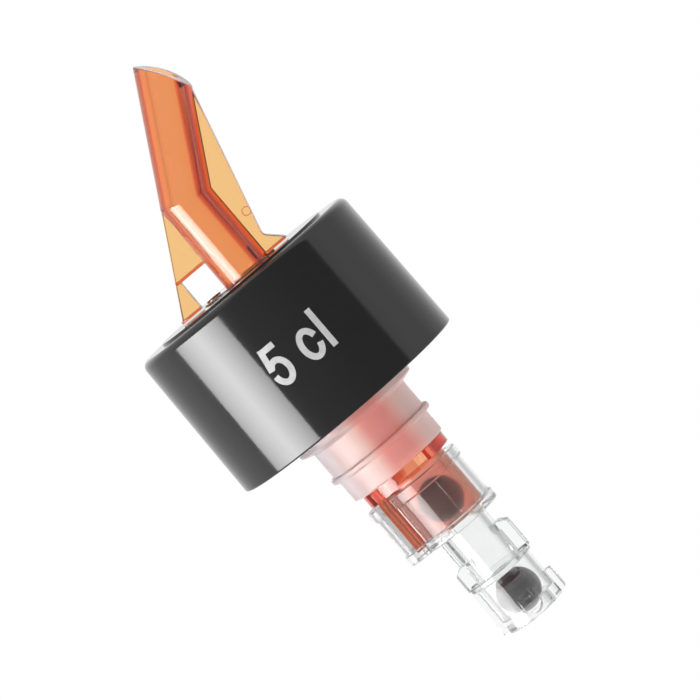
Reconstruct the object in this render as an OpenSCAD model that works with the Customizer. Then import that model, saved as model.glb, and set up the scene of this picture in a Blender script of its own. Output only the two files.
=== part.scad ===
// Measured bottle pourer: bent spout with a fin, collar, cork, metering tube and two balls.
// +Z runs up the cork's axis and +X is the side that pours.
// The origin is the middle of the cork's sealing rib.

/* [Spout] */
// Outside diameter of the spout tube
spout_od = 9.1; // [8.8:0.1:10.5]
// Bore of the spout tube
spout_bore = 7.2; // [6.4:0.1:7.4]
// Distance of the spout's axis from the cork's axis
tube_x = 1.7; // [1.5:0.05:1.8]
// Height of the bend above the hub, on the tube's axis
bend_rise = 15.5; // [12:0.1:24]
// Lean of the upper leg from the vertical, in degrees
lean = 29.7; // [20:0.1:38]
// Length of the upper leg from the bend to the mouth, on its axis
leg_len = 20.8; // [16:0.1:30]
// Slant of the mouth across the leg, in degrees
mouth_slant = 28; // [5:1:36]
// Radius of the mouth's outward curve, seen from the side
mouth_curve_r = 18; // [14:1:50]

/* [Fin] */
// Thickness of the fin
fin_t = 1.8; // [1.2:0.1:2.6]
// Reach of the right foot from the cork's axis
foot_reach = 10.4; // [9.6:0.1:14]
// Height of the right foot's flare
foot_flare_h = 3; // [1.5:0.1:5]
// Distance of the fin's narrow waist from the cork's axis
waist_x = 7.7; // [7:0.1:9]
// Width of the vent window beside the tube
window_w = 5.2; // [4.4:0.1:5.6]
// Height of the vent window
window_h = 5.5; // [4.4:0.1:7]
// Thickness of the ledge over the window
ledge_t = 0.5; // [0.3:0.1:1]
// Width of the ledge and of the strips under the feet
strip_w = 3; // [2.7:0.1:4]
// Thickness of the strips under the feet
strip_t = 0.45; // [0.3:0.05:0.8]

/* [Hub and metering tube] */
// Outside diameter of the hub and barrel
hub_d = 15; // [14.8:0.1:16]
// Wall of the hub
hub_wall = 1.2; // [1:0.1:1.6]
// Thickness of the hub's top
hub_cap_t = 1.6; // [1:0.1:3]
// Bore of the metering tube
meter_bore = 8.8; // [8.5:0.1:9]
// Wall of the metering tube
meter_wall = 1.25; // [1:0.05:1.4]
// Height of the inlet window at the back of the metering tube
inlet_h = 2.2; // [1.6:0.1:2.4]
// Width of the inlet window
inlet_w = 6; // [4:0.1:7]
// Distance of the vent's axis from the cork's axis
vent_x = 5.5; // [5.4:0.05:5.8]
// Outside diameter of the vent tube inside the hub
vent_od = 2.8; // [2.4:0.1:2.8]
// Bore of the vent
vent_bore = 1.2; // [0.8:0.1:1.4]
// Thickness of the flat vent post inside the cup
post_t = 2.2; // [1.9:0.1:2.6]
// Width of the flat vent post
post_w = 5.6; // [4:0.1:5.8]
// Height of the rim round the vent's top
vent_rim_h = 0.3; // [0.1:0.1:0.8]
// How far the barrel reaches below the cork
barrel_drop = 2.3; // [1.2:0.1:2.4]
// Radius of the left lug
lug_left_r = 8.1; // [7.9:0.1:8.8]
// Width of the left lug
lug_left_w = 8; // [6:0.1:10]
// Radius of the right lug
lug_right_r = 9; // [8.1:0.1:9.1]
// Width of the right lug
lug_right_w = 14; // [10:0.1:16]
// Height of the left lug
lug_left_h = 2.5; // [1.8:0.1:2.8]
// Height of the right lug
lug_right_h = 1.9; // [1.4:0.1:2.2]

/* [Collar] */
// Diameter of the collar at its bottom
collar_d = 44.4; // [40:0.1:50]
// Draft of the collar's side, as the loss of diameter at its top
collar_draft = 0.7; // [0:0.1:2]
// Height of the collar to its shoulder
collar_h = 27.4; // [22:0.1:34]
// Rounding of the collar's top edge
collar_round = 1.4; // [0.5:0.1:3]
// Wall of the collar
collar_wall = 1.8; // [1.2:0.1:3]
// Diameter of the raised boss on the collar's top
boss_d = 34.1; // [30:0.1:37]
// Height of the raised boss
boss_h = 0.4; // [0.2:0.1:1]
// Number of ribs inside the collar
rib_count = 8; // [4:1:12]
// Thickness of a rib inside the collar
rib_t = 1.2; // [0.8:0.1:2]

/* [Cork] */
// Diameter of the sealing rib
rib_d = 20.8; // [20:0.1:23]
// Height of the sealing rib
rib_h = 1; // [0.6:0.1:2]
// Diameter of the cork above the rib
upper_tier_d = 19.3; // [18.6:0.1:19.8]
// Diameter of the cork below the rib
lower_tier_d = 18.8; // [18.2:0.1:19.4]
// Distance from the rib's middle to the underside of the flange's cone
upper_tier_h = 5.65; // [4:0.05:8]
// Distance from the rib's middle to the cork's bottom
lower_tier_h = 4.8; // [3:0.1:6]
// Diameter of the cork's flange
flange_d = 23.6; // [22.5:0.1:26]
// Thickness of the flange at its edge
flange_t = 1.7; // [1:0.1:3]
// Height of the cone under the flange
flange_cone_h = 0.7; // [0.4:0.1:1.5]

/* [Cup] */
// Outside diameter of the cup, round the metering tube
cup_od = 14.4; // [14:0.1:15]
// Outer radius of the cup's vent channel, from the cork's axis
channel_r = 8.9; // [8.6:0.1:9.1]
// Width of the vent channel
channel_w = 8.4; // [8:0.1:9.4]
// Wall of the cup
cup_wall = 1; // [0.8:0.1:1.1]
// Depth of the cup
cup_depth = 9.55; // [7:0.05:13]
// Thickness of the cup's floor
floor_t = 1.8; // [1.5:0.1:2.5]
// How far the rim and the floor's edge stand out
cup_lip = 0.35; // [0.1:0.05:0.45]
// Height of the rim's band
band_h = 2; // [1:0.1:3]
// Gap for liquid between the lugs and the cup's rim
inlet_gap = 0.45; // [0.3:0.05:2]
// Depth of the grooves that hold the two tubes' ends
seat_depth = 0.6; // [0.3:0.1:0.9]
// Diameter of the bleed hole under the timing ball
bleed_d = 2.6; // [1.6:0.1:4]
// Diameter of the neck tube
neck_od = 9; // [8.8:0.1:9.4]
// Bore of the neck tube
neck_bore = 6.4; // [5.4:0.1:6.6]
// Length of the neck tube below the floor
neck_len = 10.25; // [9.4:0.05:14]
// Height of the two guide ribs on the neck
guide_h = 4.9; // [3:0.1:6]
// Width of a guide rib
guide_w = 1.5; // [1:0.1:2]

/* [Cage] */
// Outside diameter of the cage
cage_od = 11.2; // [10.8:0.1:12]
// Height of the cage below its shoulder
cage_h = 9.1; // [8.8:0.1:11]
// Diameter of the shoulder ring
shoulder_d = 12.5; // [12:0.1:13]
// Height of the shoulder ring
shoulder_h = 1; // [0.6:0.1:2]
// Diameter of the hole in the cage's bottom
lip_d = 6; // [5:0.1:6.6]
// Thickness of the cage's bottom lip
lip_t = 2.2; // [1.6:0.1:2.6]
// Width of the cage's two slots
slot_w = 3.3; // [2.6:0.1:4]
// Height of the cage's slots, with their round lower ends
slot_h = 3.8; // [3:0.1:4.6]
// Height of the rim below the slots
slot_low = 0.5; // [0.4:0.1:1.2]
// Turn of the slots from the fin's sides, in degrees
slot_turn = 13; // [0:1:25]
// Reach of the cage's outer ribs from its axis
rib_reach = 6.7; // [6.3:0.1:7]
// Height of the outer ribs' feet above the cage's bottom
rib_lift = 0.4; // [0:0.1:1]
// Thickness of the long outer rib
long_rib_t = 1; // [0.8:0.1:1.6]
// Thickness of the short outer rib
short_rib_t = 2.4; // [1.6:0.1:3]
// Height of the short outer rib
short_rib_h = 4.3; // [3:0.1:6]
// Width of the clip arms
arm_w = 3.6; // [2.6:0.1:4]
// Reach of the clip arms from the cage's axis
arm_reach = 6.6; // [6:0.1:6.8]
// Height of the left clip arm above the shoulder
arm_left_h = 3.8; // [3:0.1:5]
// Height of the right clip arm above the shoulder
arm_right_h = 6; // [4:0.1:7]
// Height of the hook at an arm's tip
hook_h = 1.4; // [0.8:0.1:1.6]
// Depth of the pocket that takes a hook
pocket_depth = 1.1; // [0.4:0.05:1.2]

/* [Balls] */
// Diameter of both balls
ball_d = 7.94; // [7.7:0.01:8.1]
// Travel of the timing ball to its seat
ball_travel = 30; // [24:0.5:34]

/* [Fits] */
// Radial gap of pieces pushed onto each other
press_gap = 0.05; // [0.02:0.01:0.1]
// Radial running gap between the collar and the hub
run_gap = 0.08; // [0.03:0.01:0.1]
// Gap above and below the turning collar
collar_gap = 0.2; // [0.1:0.05:0.4]
// Gap between a ball and its seat at either end of its travel
ball_gap = 0.1; // [0.05:0.01:0.2]

/* [Hidden] */
$fn = 96;
// Overlap of shapes that are cut from or joined to each other
lap = 0.02;
// Size of the blocks that stand for half of space
far = 200;
// How far the fin's edges run inside the tube's outline
fin_inset = 0.15;
// Land between the cork and the inlet window
inlet_land = 0.45;
// Wall of the collar's sleeve round the hub
sleeve_wall = 1.4;

orange = [0.93, 0.5, 0.26, 0.75];
clear = [0.9, 0.93, 0.95, 0.4];
frosted = [0.95, 0.85, 0.82];
black = [0.1, 0.1, 0.1];
steel = [0.62, 0.61, 0.6];

spout_r = spout_od / 2;
ball_r = ball_d / 2;
hub_r = hub_d / 2;
meter_r = meter_bore / 2;
meter_od = meter_bore + 2 * meter_wall;
cup_r = cup_od / 2;
neck_r = neck_od / 2;
cage_r = cage_od / 2;
cage_bore_r = neck_r + press_gap;

// Heights of the stack, from the cork's rib upwards
flange_low_z = upper_tier_h + flange_cone_h;
flange_top_z = flange_low_z + flange_t;
collar_z = flange_top_z + collar_gap;
collar_top_z = collar_z + collar_h + boss_h;
hub_top_z = collar_top_z + collar_gap;
bend_z = hub_top_z + bend_rise;

// Heights of the stack, from the cork's rib downwards
cork_low_z = -lower_tier_h;
lug_top_z = cork_low_z - press_gap;
barrel_low_z = lug_top_z - barrel_drop;
cup_top_z = lug_top_z - max(lug_left_h, lug_right_h, barrel_drop) - inlet_gap;
floor_z = cup_top_z - cup_depth;
cup_low_z = floor_z - floor_t;
tube_low_z = floor_z - seat_depth + press_gap;
inlet_top_z = lug_top_z - inlet_land;
neck_low_z = cup_low_z - neck_len;
cage_low_z = neck_low_z - cage_h;
shoulder_top_z = neck_low_z + shoulder_h;

// A ball of radius r rests this far above a round edge of radius e
function rest_height(r, e) = sqrt(r * r - e * e);
timing_z = floor_z + rest_height(ball_r, bleed_d / 2) + ball_gap;
// The timing ball stops on the edge of the spout's bore
seat_z = timing_z + ball_travel + ball_gap + rest_height(ball_r, spout_bore / 2);
check_z = cage_low_z + lip_t + rest_height(ball_r, lip_d / 2) + ball_gap;
check_travel = neck_low_z - rest_height(ball_r, neck_bore / 2) - ball_gap - check_z;
echo(timing_z = timing_z, check_z = check_z, check_travel = check_travel);
echo(hub_top_z = hub_top_z, bend_z = bend_z, seat_z = seat_z, cage_low_z = cage_low_z);

// Corner points of the fin, in the XZ plane
leg_edge_l = leg_len - spout_r * tan(mouth_slant);
function on_leg(across, along) = [
    tube_x + across * cos(lean) + along * sin(lean),
    bend_z - across * sin(lean) + along * cos(lean)];
bend_left = on_leg(fin_inset - spout_r, spout_r);
heel = on_leg(spout_r - fin_inset, leg_edge_l - 2 * fin_inset);
function back_edge_x(z) = bend_left[0] - (bend_left[1] - z) * tan(lean);
foot_back_x = back_edge_x(hub_top_z);
window_back_x = tube_x - spout_r - window_w;
window_top_z = hub_top_z + window_h;

module at_tube(z) {
    translate([tube_x, 0, z]) children();
}

module above_bend() {
    at_tube(bend_z) rotate([0, lean / 2, 0]) translate([-far / 2, -far / 2, 0]) cube(far);
}

module mouth_round() {
    half_chord = spout_r / cos(mouth_slant);
    back = sqrt(mouth_curve_r * mouth_curve_r - half_chord * half_chord);
    at_tube(bend_z) rotate([0, lean, 0])
        translate([-back * sin(mouth_slant), 0, leg_len - back * cos(mouth_slant)])
            rotate([90, 0, 0]) cylinder(r = mouth_curve_r, h = 3 * spout_od, center = true);
}

// Mitred round rod along the spout's path, from a given height to past the mouth
module lower_rod(d, low_z) {
    difference() {
        at_tube(low_z) cylinder(d = d, h = bend_z + spout_od - low_z);
        above_bend();
    }
}

module upper_rod(d) {
    intersection() {
        above_bend();
        at_tube(bend_z) rotate([0, lean, 0]) translate([0, 0, -spout_od])
            cylinder(d = d, h = leg_len + 3 * spout_od);
    }
}

module bent_tube() {
    lower_rod(spout_od, seat_z);
    intersection() {
        upper_rod(spout_od);
        mouth_round();
    }
}

module fin() {
    difference() {
        rotate([90, 0, 0]) linear_extrude(fin_t, center = true) polygon([
            [foot_back_x, hub_top_z],
            [foot_reach, hub_top_z],
            [foot_reach, hub_top_z + strip_t],
            [waist_x, hub_top_z + foot_flare_h],
            heel,
            on_leg(0, leg_edge_l / 2),
            bend_left]);
        translate([window_back_x, -fin_t, hub_top_z - lap])
            cube([window_w + spout_r, 2 * fin_t, window_h + lap]);
    }
    ledge_x = back_edge_x(window_top_z + ledge_t);
    translate([ledge_x, -strip_w / 2, window_top_z]) cube([tube_x - ledge_x, strip_w, ledge_t]);
    translate([foot_back_x, -strip_w / 2, hub_top_z])
        cube([window_back_x - foot_back_x, strip_w, strip_t]);
    translate([tube_x, -strip_w / 2, hub_top_z]) cube([foot_reach - tube_x, strip_w, strip_t]);
}

// Piece of a disc that keeps the cork on the barrel, on the +X side when side is 1
module lug(side, r, w, h, from_x) {
    translate([0, 0, lug_top_z - h]) intersection() {
        cylinder(r = r, h = h);
        translate([side > 0 ? from_x : -from_x - far, -w / 2, -lap]) cube([far, w, h + 2 * lap]);
    }
}

// Flat post that leads the vent down to the cup's floor, widened by a gap to cut its seat
module vent_post(gap, top_z) {
    low_z = tube_low_z - gap;
    translate([-vent_x - post_t / 2 - gap, -post_w / 2 - gap, low_z])
        cube([post_t + 2 * gap, post_w + 2 * gap, top_z - low_z]);
}

module hub() {
    difference() {
        translate([0, 0, barrel_low_z]) cylinder(d = hub_d, h = hub_top_z - barrel_low_z);
        translate([0, 0, barrel_low_z - lap])
            cylinder(r = hub_r - hub_wall, h = hub_top_z - hub_cap_t - barrel_low_z + lap);
    }
    at_tube(tube_low_z) cylinder(d = meter_od, h = seat_z + meter_wall - tube_low_z);
    translate([-vent_x, 0, barrel_low_z])
        cylinder(d = vent_od, h = hub_top_z + vent_rim_h - barrel_low_z);
    vent_post(0, barrel_low_z + lap);
    lug(-1, lug_left_r, lug_left_w, lug_left_h, vent_x - vent_od / 2);
    lug(1, lug_right_r, lug_right_w, lug_right_h, tube_x + meter_r - meter_wall / 2);
}

module spout() {
    seat_cone_h = meter_r - spout_bore / 2;
    color(orange) difference() {
        union() {
            bent_tube();
            fin();
            hub();
        }
        lower_rod(spout_bore, seat_z - lap);
        upper_rod(spout_bore);
        at_tube(tube_low_z - lap)
            cylinder(d = meter_bore, h = seat_z - seat_cone_h - tube_low_z + 2 * lap);
        at_tube(seat_z - seat_cone_h) cylinder(r1 = meter_r, r2 = spout_bore / 2, h = seat_cone_h);
        translate([-vent_x, 0, tube_low_z - lap])
            cylinder(d = vent_bore, h = hub_top_z + vent_rim_h - tube_low_z + 2 * lap);
        at_tube(inlet_top_z - inlet_h) translate([-inlet_w / 2, 0, 0])
            cube([inlet_w, hub_r, inlet_h]);
    }
}

module collar() {
    top_r = (collar_d - collar_draft) / 2;
    shoulder_z = collar_z + collar_h;
    hub_bore_r = hub_r + run_gap;
    sleeve_r = hub_bore_r + sleeve_wall;
    inner_h = collar_h - collar_wall;
    color(black) difference() {
        union() {
            rotate_extrude() difference() {
                union() {
                    polygon([
                        [hub_bore_r, collar_z],
                        [collar_d / 2, collar_z],
                        [top_r, shoulder_z - collar_round],
                        [hub_bore_r, shoulder_z - collar_round]]);
                    translate([hub_bore_r, shoulder_z - collar_round - lap])
                        square([top_r - collar_round - hub_bore_r, collar_round + lap]);
                    intersection() {
                        translate([top_r - collar_round, shoulder_z - collar_round]) circle(collar_round);
                        translate([hub_bore_r, shoulder_z - collar_round]) square([far, collar_round]);
                    }
                    translate([hub_bore_r, shoulder_z - lap])
                        square([boss_d / 2 - hub_bore_r, boss_h + lap]);
                }
                translate([sleeve_r, collar_z - lap])
                    square([top_r - collar_wall - sleeve_r, inner_h + lap]);
            }
            for (i = [0 : rib_count - 1])
                rotate([0, 0, i * 360 / rib_count])
                    translate([hub_bore_r + lap, -rib_t / 2, collar_z + collar_wall])
                        cube([top_r - collar_wall / 2 - hub_bore_r, rib_t, inner_h - collar_wall / 2]);
        }
        translate([0, 0, collar_z - lap]) cylinder(r = hub_bore_r, h = collar_h + boss_h + 2 * lap);
    }
}

module cork() {
    bore_r = hub_r + press_gap;
    color(frosted) rotate_extrude() polygon([
        [bore_r, cork_low_z],
        [lower_tier_d / 2, cork_low_z],
        [lower_tier_d / 2, -rib_h / 2],
        [rib_d / 2, -rib_h / 2],
        [rib_d / 2, rib_h / 2],
        [upper_tier_d / 2, rib_h / 2],
        [upper_tier_d / 2, upper_tier_h],
        [flange_d / 2, flange_low_z],
        [flange_d / 2, flange_top_z],
        [bore_r, flange_top_z]]);
}

// Pocket in the neck that takes the hook of one clip arm
module hook_pocket(side, arm_h) {
    pocket_x = side > 0 ? neck_r - pocket_depth : pocket_depth - neck_r - neck_od;
    at_tube(shoulder_top_z + arm_h - hook_h - press_gap)
        translate([pocket_x, -arm_w / 2 - press_gap, 0])
            cube([neck_od, arm_w + 2 * press_gap, hook_h + 2 * press_gap]);
}

// Round cup about the tube's axis and the flat-sided channel of the vent, grown by a margin
module cup_form(grow, low_z, h) {
    at_tube(low_z) cylinder(r = cup_r + grow, h = h);
    translate([0, 0, low_z]) intersection() {
        cylinder(r = channel_r + grow, h = h);
        translate([-far, -channel_w / 2 - grow, -lap]) cube([far, channel_w + 2 * grow, h + 2 * lap]);
    }
}

module cup() {
    seat_wall = floor_t / 2;
    color(clear) difference() {
        union() {
            cup_form(0, cup_low_z, cup_top_z - cup_low_z);
            cup_form(cup_lip, cup_low_z, floor_t);
            cup_form(cup_lip, cup_top_z - band_h, band_h);
            at_tube(neck_low_z) cylinder(r = neck_r, h = neck_len + lap);
            for (side = [-1, 1])
                at_tube(cup_low_z - guide_h)
                    translate([-neck_r, side * (arm_w / 2 + guide_w) - guide_w / 2, 0])
                        cube([guide_w, guide_w, guide_h + lap]);
        }
        cup_form(-cup_wall, floor_z, cup_depth + lap);
        at_tube(floor_z - seat_depth) difference() {
            cylinder(d = meter_od + 2 * press_gap, h = seat_depth + lap);
            translate([0, 0, -lap]) cylinder(r = meter_r - press_gap, h = seat_depth + 3 * lap);
        }
        vent_post(press_gap, floor_z + lap);
        translate([-vent_x, 0, cup_low_z - lap]) cylinder(d = vent_bore, h = floor_t);
        at_tube(cup_low_z) cylinder(d = bleed_d, h = floor_t + lap);
        at_tube(neck_low_z - lap) cylinder(d = neck_bore, h = neck_len + floor_t - seat_wall + lap);
        hook_pocket(-1, arm_left_h);
        hook_pocket(1, arm_right_h);
    }
}

// Clip arm beside the neck with a hook at its tip, on the +X side when side is 1
module clip_arm(side, h) {
    hook_in = pocket_depth - press_gap;
    at_tube(shoulder_top_z - lap) intersection() {
        difference() {
            cylinder(r = arm_reach, h = h + lap);
            translate([0, 0, -lap]) cylinder(r = neck_r + press_gap, h = h - hook_h + 2 * lap);
            translate([-neck_r + hook_in, -far / 2, -lap])
                cube([neck_od - 2 * hook_in, far, h + 4 * lap]);
        }
        translate([side > 0 ? 0 : -far, -arm_w / 2, -lap]) cube([far, arm_w, h + 2 * lap]);
    }
}

module cage() {
    color(clear) difference() {
        union() {
            at_tube(cage_low_z) cylinder(r = cage_r, h = cage_h + lap);
            at_tube(neck_low_z) cylinder(d = shoulder_d, h = shoulder_h);
            at_tube(cage_low_z + rib_lift) translate([-rib_reach, -long_rib_t / 2, 0])
                cube([rib_reach, long_rib_t, cage_h - rib_lift]);
            at_tube(cage_low_z + rib_lift) translate([0, -short_rib_t / 2, 0])
                cube([rib_reach, short_rib_t, short_rib_h]);
            clip_arm(-1, arm_left_h);
            clip_arm(1, arm_right_h);
        }
        at_tube(cage_low_z + lip_t) cylinder(r = cage_bore_r, h = cage_h - lip_t + shoulder_h + lap);
        at_tube(cage_low_z - lap) cylinder(d = lip_d, h = lip_t + 2 * lap);
        at_tube(cage_low_z + slot_low + slot_w / 2) rotate([90, 0, slot_turn]) {
            cylinder(d = slot_w, h = 2 * cage_od, center = true);
            translate([-slot_w / 2, 0, -cage_od]) cube([slot_w, slot_h - slot_w / 2, 2 * cage_od]);
        }
    }
}

module timing_ball() {
    color(steel) at_tube(timing_z) sphere(d = ball_d);
}

module check_ball() {
    color(steel) at_tube(check_z) sphere(d = ball_d);
}

spout();
collar();
cork();
cup();
cage();
timing_ball();
check_ball();
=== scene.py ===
import math

import bmesh
import bpy
import numpy as np
from mathutils import Matrix, Vector


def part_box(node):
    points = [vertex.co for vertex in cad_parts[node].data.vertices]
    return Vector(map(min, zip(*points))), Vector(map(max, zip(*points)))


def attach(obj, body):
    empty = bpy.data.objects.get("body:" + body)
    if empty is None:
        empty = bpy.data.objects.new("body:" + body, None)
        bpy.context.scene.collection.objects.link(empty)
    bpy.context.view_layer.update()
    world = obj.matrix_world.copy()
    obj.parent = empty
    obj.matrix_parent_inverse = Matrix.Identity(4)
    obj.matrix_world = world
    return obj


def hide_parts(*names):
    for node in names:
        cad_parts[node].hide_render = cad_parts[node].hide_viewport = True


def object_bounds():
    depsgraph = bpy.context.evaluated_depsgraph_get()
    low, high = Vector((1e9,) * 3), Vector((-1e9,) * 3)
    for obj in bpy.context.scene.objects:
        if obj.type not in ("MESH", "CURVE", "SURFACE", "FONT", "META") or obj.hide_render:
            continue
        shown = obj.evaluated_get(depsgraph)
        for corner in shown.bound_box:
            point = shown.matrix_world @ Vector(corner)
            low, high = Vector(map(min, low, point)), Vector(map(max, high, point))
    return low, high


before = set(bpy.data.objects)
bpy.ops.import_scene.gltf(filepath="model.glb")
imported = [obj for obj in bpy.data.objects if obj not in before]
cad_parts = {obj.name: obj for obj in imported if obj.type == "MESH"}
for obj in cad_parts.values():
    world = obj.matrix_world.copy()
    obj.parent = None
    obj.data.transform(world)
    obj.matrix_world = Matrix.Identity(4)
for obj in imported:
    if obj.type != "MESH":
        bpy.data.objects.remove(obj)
cadLow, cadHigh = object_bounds()
scene = bpy.context.scene
mm = 0.001
past = 1.0    # how far a cutter runs beyond what it cuts, in millimetres


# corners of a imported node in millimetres
def boxMm(node):
    low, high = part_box(node)
    return np.array(low) / mm, np.array(high) / mm


spoutLow = boxMm("spout")[0]
collarLow, collarHigh = boxMm("collar")
corkLow, corkHigh = boxMm("cork")
cupLow, cupHigh = boxMm("cup")
cageLow = boxMm("cage")[0]
timingLow, timingHigh = boxMm("timing_ball")
checkLow, checkHigh = boxMm("check_ball")
tubeX = (timingLow[0] + timingHigh[0]) / 2    # the tubes' axis, beside the cork's axis
print("frame loaded, tube axis at", round(tubeX, 3), "mm")


# quads between neighbours of a grid, whose last row and column join the first
def gridFaces(rows, columns):
    r = np.arange(rows)[:, None]
    c = np.arange(columns)[None, :]
    nextR = (r + 1) % rows
    nextC = (c + 1) % columns
    corners = [r * columns + c, r * columns + nextC, nextR * columns + nextC, nextR * columns + c]
    return np.stack(np.broadcast_arrays(*corners), -1).reshape(-1, 4)


# a mesh object in millimetres, with its doubles merged and its faces turned outwards
def solid(name, points, faces, caps=()):
    mesh = bpy.data.meshes.new(name)
    mesh.from_pydata(points.reshape(-1, 3).tolist(), [], faces.tolist() + [list(cap) for cap in caps])
    work = bmesh.new()
    work.from_mesh(mesh)
    bmesh.ops.remove_doubles(work, verts=work.verts, dist=1e-5)
    bmesh.ops.dissolve_degenerate(work, edges=work.edges, dist=1e-6)
    bmesh.ops.recalc_face_normals(work, faces=work.faces)
    work.to_mesh(mesh)
    work.free()
    piece = bpy.data.objects.new(name, mesh)
    scene.collection.objects.link(piece)
    return piece


# each corner of a closed outline becomes an arc that touches its two sides and takes up at most a set share
# of the shorter one: reach = radius / tan(half the corner's angle)
def rounded(corners, radius, steps=5, most=0.48):
    p = np.array(corners, float)
    want = np.broadcast_to(np.asarray(radius, float), len(p))
    toLast = np.roll(p, 1, 0) - p
    toNext = np.roll(p, -1, 0) - p
    lastLength = np.linalg.norm(toLast, axis=1)
    nextLength = np.linalg.norm(toNext, axis=1)
    u = toLast / lastLength[:, None]
    v = toNext / nextLength[:, None]
    half = np.arccos(np.clip((u * v).sum(1), -1, 1)) / 2
    reach = np.minimum(want / np.tan(half), most * np.minimum(lastLength, nextLength))
    arcRadius = reach * np.tan(half)
    middle = u + v
    middle /= np.maximum(np.linalg.norm(middle, axis=1), 1e-9)[:, None]
    centre = p + middle * (arcRadius / np.sin(half))[:, None]
    first = p + u * reach[:, None] - centre
    last = p + v * reach[:, None] - centre
    startAngle = np.arctan2(first[:, 1], first[:, 0])
    sweep = np.arctan2(last[:, 1], last[:, 0]) - startAngle
    sweep = (sweep + np.pi) % (2 * np.pi) - np.pi
    angle = startAngle[:, None] + sweep[:, None] * np.linspace(0, 1, steps)
    arc = arcRadius[:, None, None] * np.stack([np.cos(angle), np.sin(angle)], -1)
    return (centre[:, None] + arc).reshape(-1, 2)


# a closed profile of (radius, height) turned about a vertical axis: x = centre + r cos t, y = r sin t
def turned(name, profile, centreX=0.0, segments=160):
    profile = np.asarray(profile, float)
    t = np.linspace(0, 2 * np.pi, segments, endpoint=False)
    x = centreX + np.outer(profile[:, 0], np.cos(t))
    y = np.outer(profile[:, 0], np.sin(t))
    z = np.repeat(profile[:, 1:], segments, 1)
    return solid(name, np.stack([x, y, z], -1), gridFaces(len(profile), segments))


# a round rod between two heights
def rod(name, radius, low, high, centreX=0.0, segments=96):
    return turned(name, [(0, low), (radius, low), (radius, high), (0, high)], centreX, segments)


# an outline in XZ carried along Y: the rings near both faces shrink by a quarter circle, which rounds
# the edges. A corner moves along its mitre, (n1 + n2) / (1 + n1 . n2)
def plate(name, outline, thickness, edge=0.15, steps=4, turnZ=0.0, centre=(0.0, 0.0)):
    outline = np.asarray(outline, float)
    side = np.roll(outline, -1, 0) - outline
    side /= np.linalg.norm(side, axis=1)[:, None]
    normal = np.stack([side[:, 1], -side[:, 0]], -1)
    area = (outline[:, 0] * np.roll(outline[:, 1], -1) - np.roll(outline[:, 0], -1) * outline[:, 1]).sum()
    mitre = normal + np.roll(normal, 1, 0)
    mitre /= (1 + (normal * np.roll(normal, 1, 0)).sum(1))[:, None]
    outward = mitre * np.sign(area)
    a = np.linspace(0, np.pi / 2, steps)
    shrink = np.concatenate([edge * (1 - np.sin(a)), edge * (1 - np.sin(a[::-1]))])
    rise = edge * (1 - np.cos(a))
    depth = np.concatenate([rise - thickness / 2, thickness / 2 - rise[::-1]])
    ring = outline[None] - shrink[:, None, None] * outward[None]
    y = np.repeat(depth[:, None], len(outline), 1)
    x = ring[..., 0]
    c, s = math.cos(turnZ), math.sin(turnZ)
    points = np.stack([centre[0] + x * c - y * s, centre[1] + x * s + y * c, ring[..., 1]], -1)
    count = len(outline)
    faces = gridFaces(len(depth), count)[:(len(depth) - 1) * count]
    lastRing = (len(depth) - 1) * count
    caps = [range(count - 1, -1, -1), range(lastRing, lastRing + count)]
    return solid(name, points, faces, caps)


# a block between two corners: its outline's corners are rounded a little wider than its edges
def block(name, low, high, edge=0.1):
    outline = [(low[0], low[2]), (high[0], low[2]), (high[0], high[2]), (low[0], high[2])]
    corner = rounded(outline, 1.3 * edge, 3)
    return plate(name, corner, high[1] - low[1], edge, 3, centre=(0.0, (low[1] + high[1]) / 2))


# an outline in XY carried up between two heights: a plate with Y and Z changed over, which turns its faces
# inwards, so they are turned out again
def prism(name, outline, low, high, edge=0.12):
    piece = plate(name, outline, high - low, edge, 3)
    piece.data.transform(Matrix(((1, 0, 0, 0), (0, 0, 1, 0), (0, 1, 0, (low + high) / 2), (0, 0, 0, 1))))
    work = bmesh.new()
    work.from_mesh(piece.data)
    bmesh.ops.recalc_face_normals(work, faces=work.faces)
    work.to_mesh(piece.data)
    work.free()
    return piece


# joins the added solids to the base, takes the cuts out of it, then keeps what lies in the last ones
def shaped(base, adds=(), cuts=(), keeps=()):
    steps = [(part, "UNION") for part in adds]
    steps += [(part, "DIFFERENCE") for part in cuts]
    steps += [(part, "INTERSECT") for part in keeps]
    for part, operation in steps:
        step = base.modifiers.new("shape", "BOOLEAN")
        step.operation = operation
        step.solver = "MANIFOLD"
        step.object = part
    graph = bpy.context.evaluated_depsgraph_get()
    mesh = bpy.data.meshes.new_from_object(base.evaluated_get(graph))
    base.modifiers.clear()
    base.data = mesh
    for part in (*adds, *cuts, *keeps):
        bpy.data.objects.remove(part)
    return base


# brings a piece to metres, shades it smooth up to an angle with its large faces kept flat, and ties it
# to its body
def place(piece, name, finish, body, nodes=(), smooth=32, crease=None):
    piece.name = name
    mesh = piece.data
    mesh.name = name
    work = bmesh.new()
    work.from_mesh(mesh)
    bmesh.ops.remove_doubles(work, verts=work.verts, dist=2e-4)
    bmesh.ops.dissolve_degenerate(work, edges=work.edges, dist=1e-5)
    work.to_mesh(mesh)
    work.free()
    mesh.transform(Matrix.Scale(mm, 4))
    mesh.shade_smooth()
    mesh.set_sharp_from_angle(angle=math.radians(smooth))
    if crease:
        crease(mesh)
    mesh.materials.clear()
    mesh.materials.append(finish)
    flat = piece.modifiers.new("flat", "WEIGHTED_NORMAL")
    flat.keep_sharp = True
    graph = bpy.context.evaluated_depsgraph_get()
    mesh = bpy.data.meshes.new_from_object(piece.evaluated_get(graph))
    mesh.name = name
    piece.modifiers.clear()
    piece.data = mesh
    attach(piece, body)
    if nodes:
        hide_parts(*nodes)
    mesh.calc_loop_triangles()
    print(name, len(mesh.loop_triangles), "triangles")


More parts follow.
